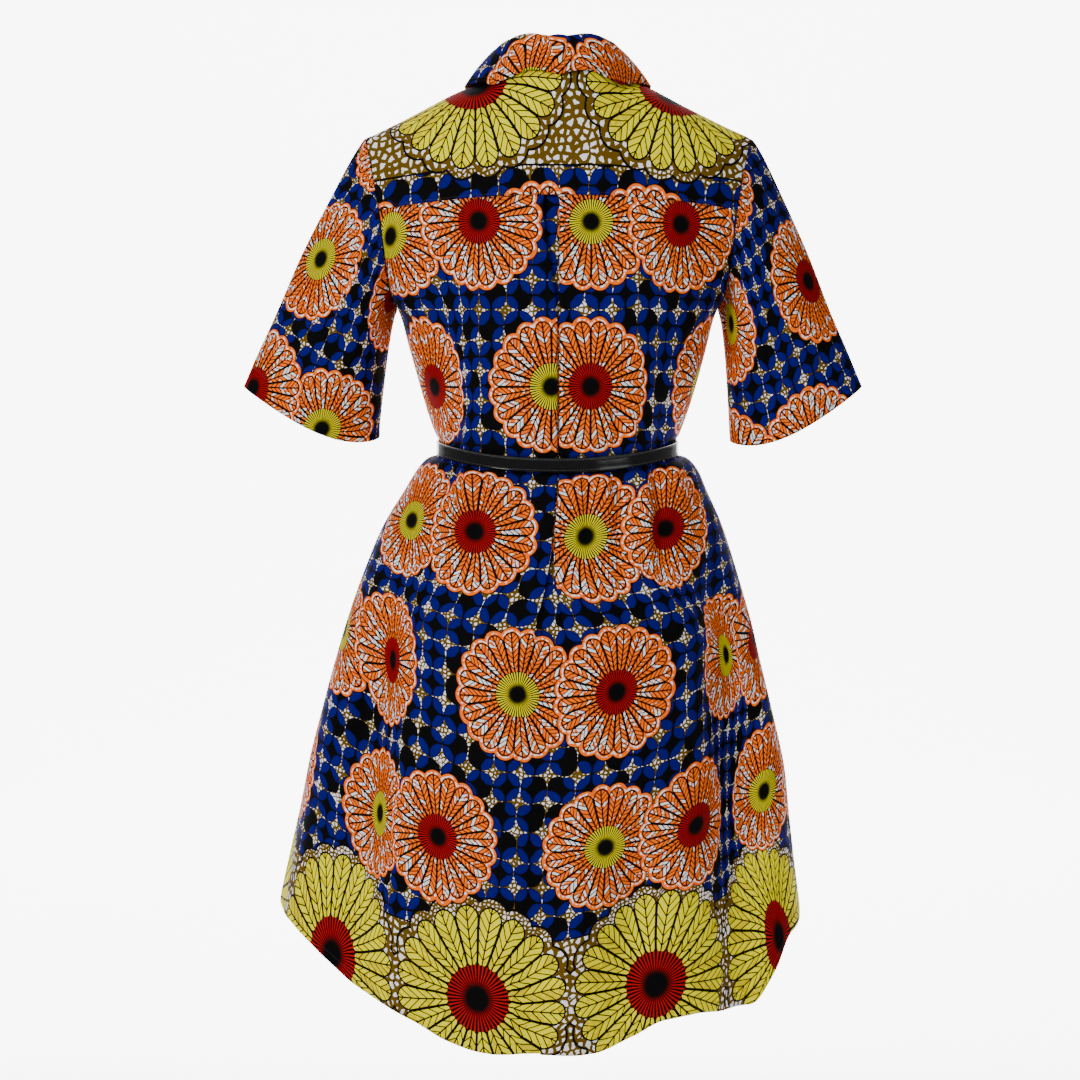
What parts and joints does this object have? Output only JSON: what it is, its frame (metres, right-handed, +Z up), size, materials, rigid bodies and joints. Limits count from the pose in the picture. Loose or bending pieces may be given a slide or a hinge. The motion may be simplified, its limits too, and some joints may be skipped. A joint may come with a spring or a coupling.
{
  "type": "ankara wax print dress",
  "caption": "Short-sleeved shirt dress in wax-printed cotton with collar, back yoke, centre-back pleat, narrow patent belt and curved hem, hollow in its worn shape.",
  "frame": {"origin": "midway between the two points where the shoulders meet the neck, where the wearer's shoulders hold the dress up", "axes": "+Z up along the dress, the back faces +Y, the front faces -Y, +X to the wearer's left"},
  "size_m": [0.652, 0.4297, 1.0236],
  "materials": {
    "printed_cotton": "matte",
    "black_patent_leather": "gloss",
    "black_metal": "satin",
    "button_plastic": "gloss"
  },
  "bodies": {
    "root": {"back": "printed_cotton", "yoke": "printed_cotton", "front_left": "printed_cotton", "front_right": "printed_cotton", "placket": "printed_cotton", "collar": "printed_cotton", "collar_stand": "printed_cotton", "sleeve_left": "printed_cotton", "sleeve_right": "printed_cotton", "belt": "black_patent_leather", "belt_keeper": "black_patent_leather", "buckle_frame": "black_metal", "buckle_prong": "black_metal", "button_1": "button_plastic", "button_2": "button_plastic", "button_3": "button_plastic", "button_4": "button_plastic", "button_5": "button_plastic", "button_6": "button_plastic", "button_7": "button_plastic", "button_8": "button_plastic"}
  },
  "joints": []
}
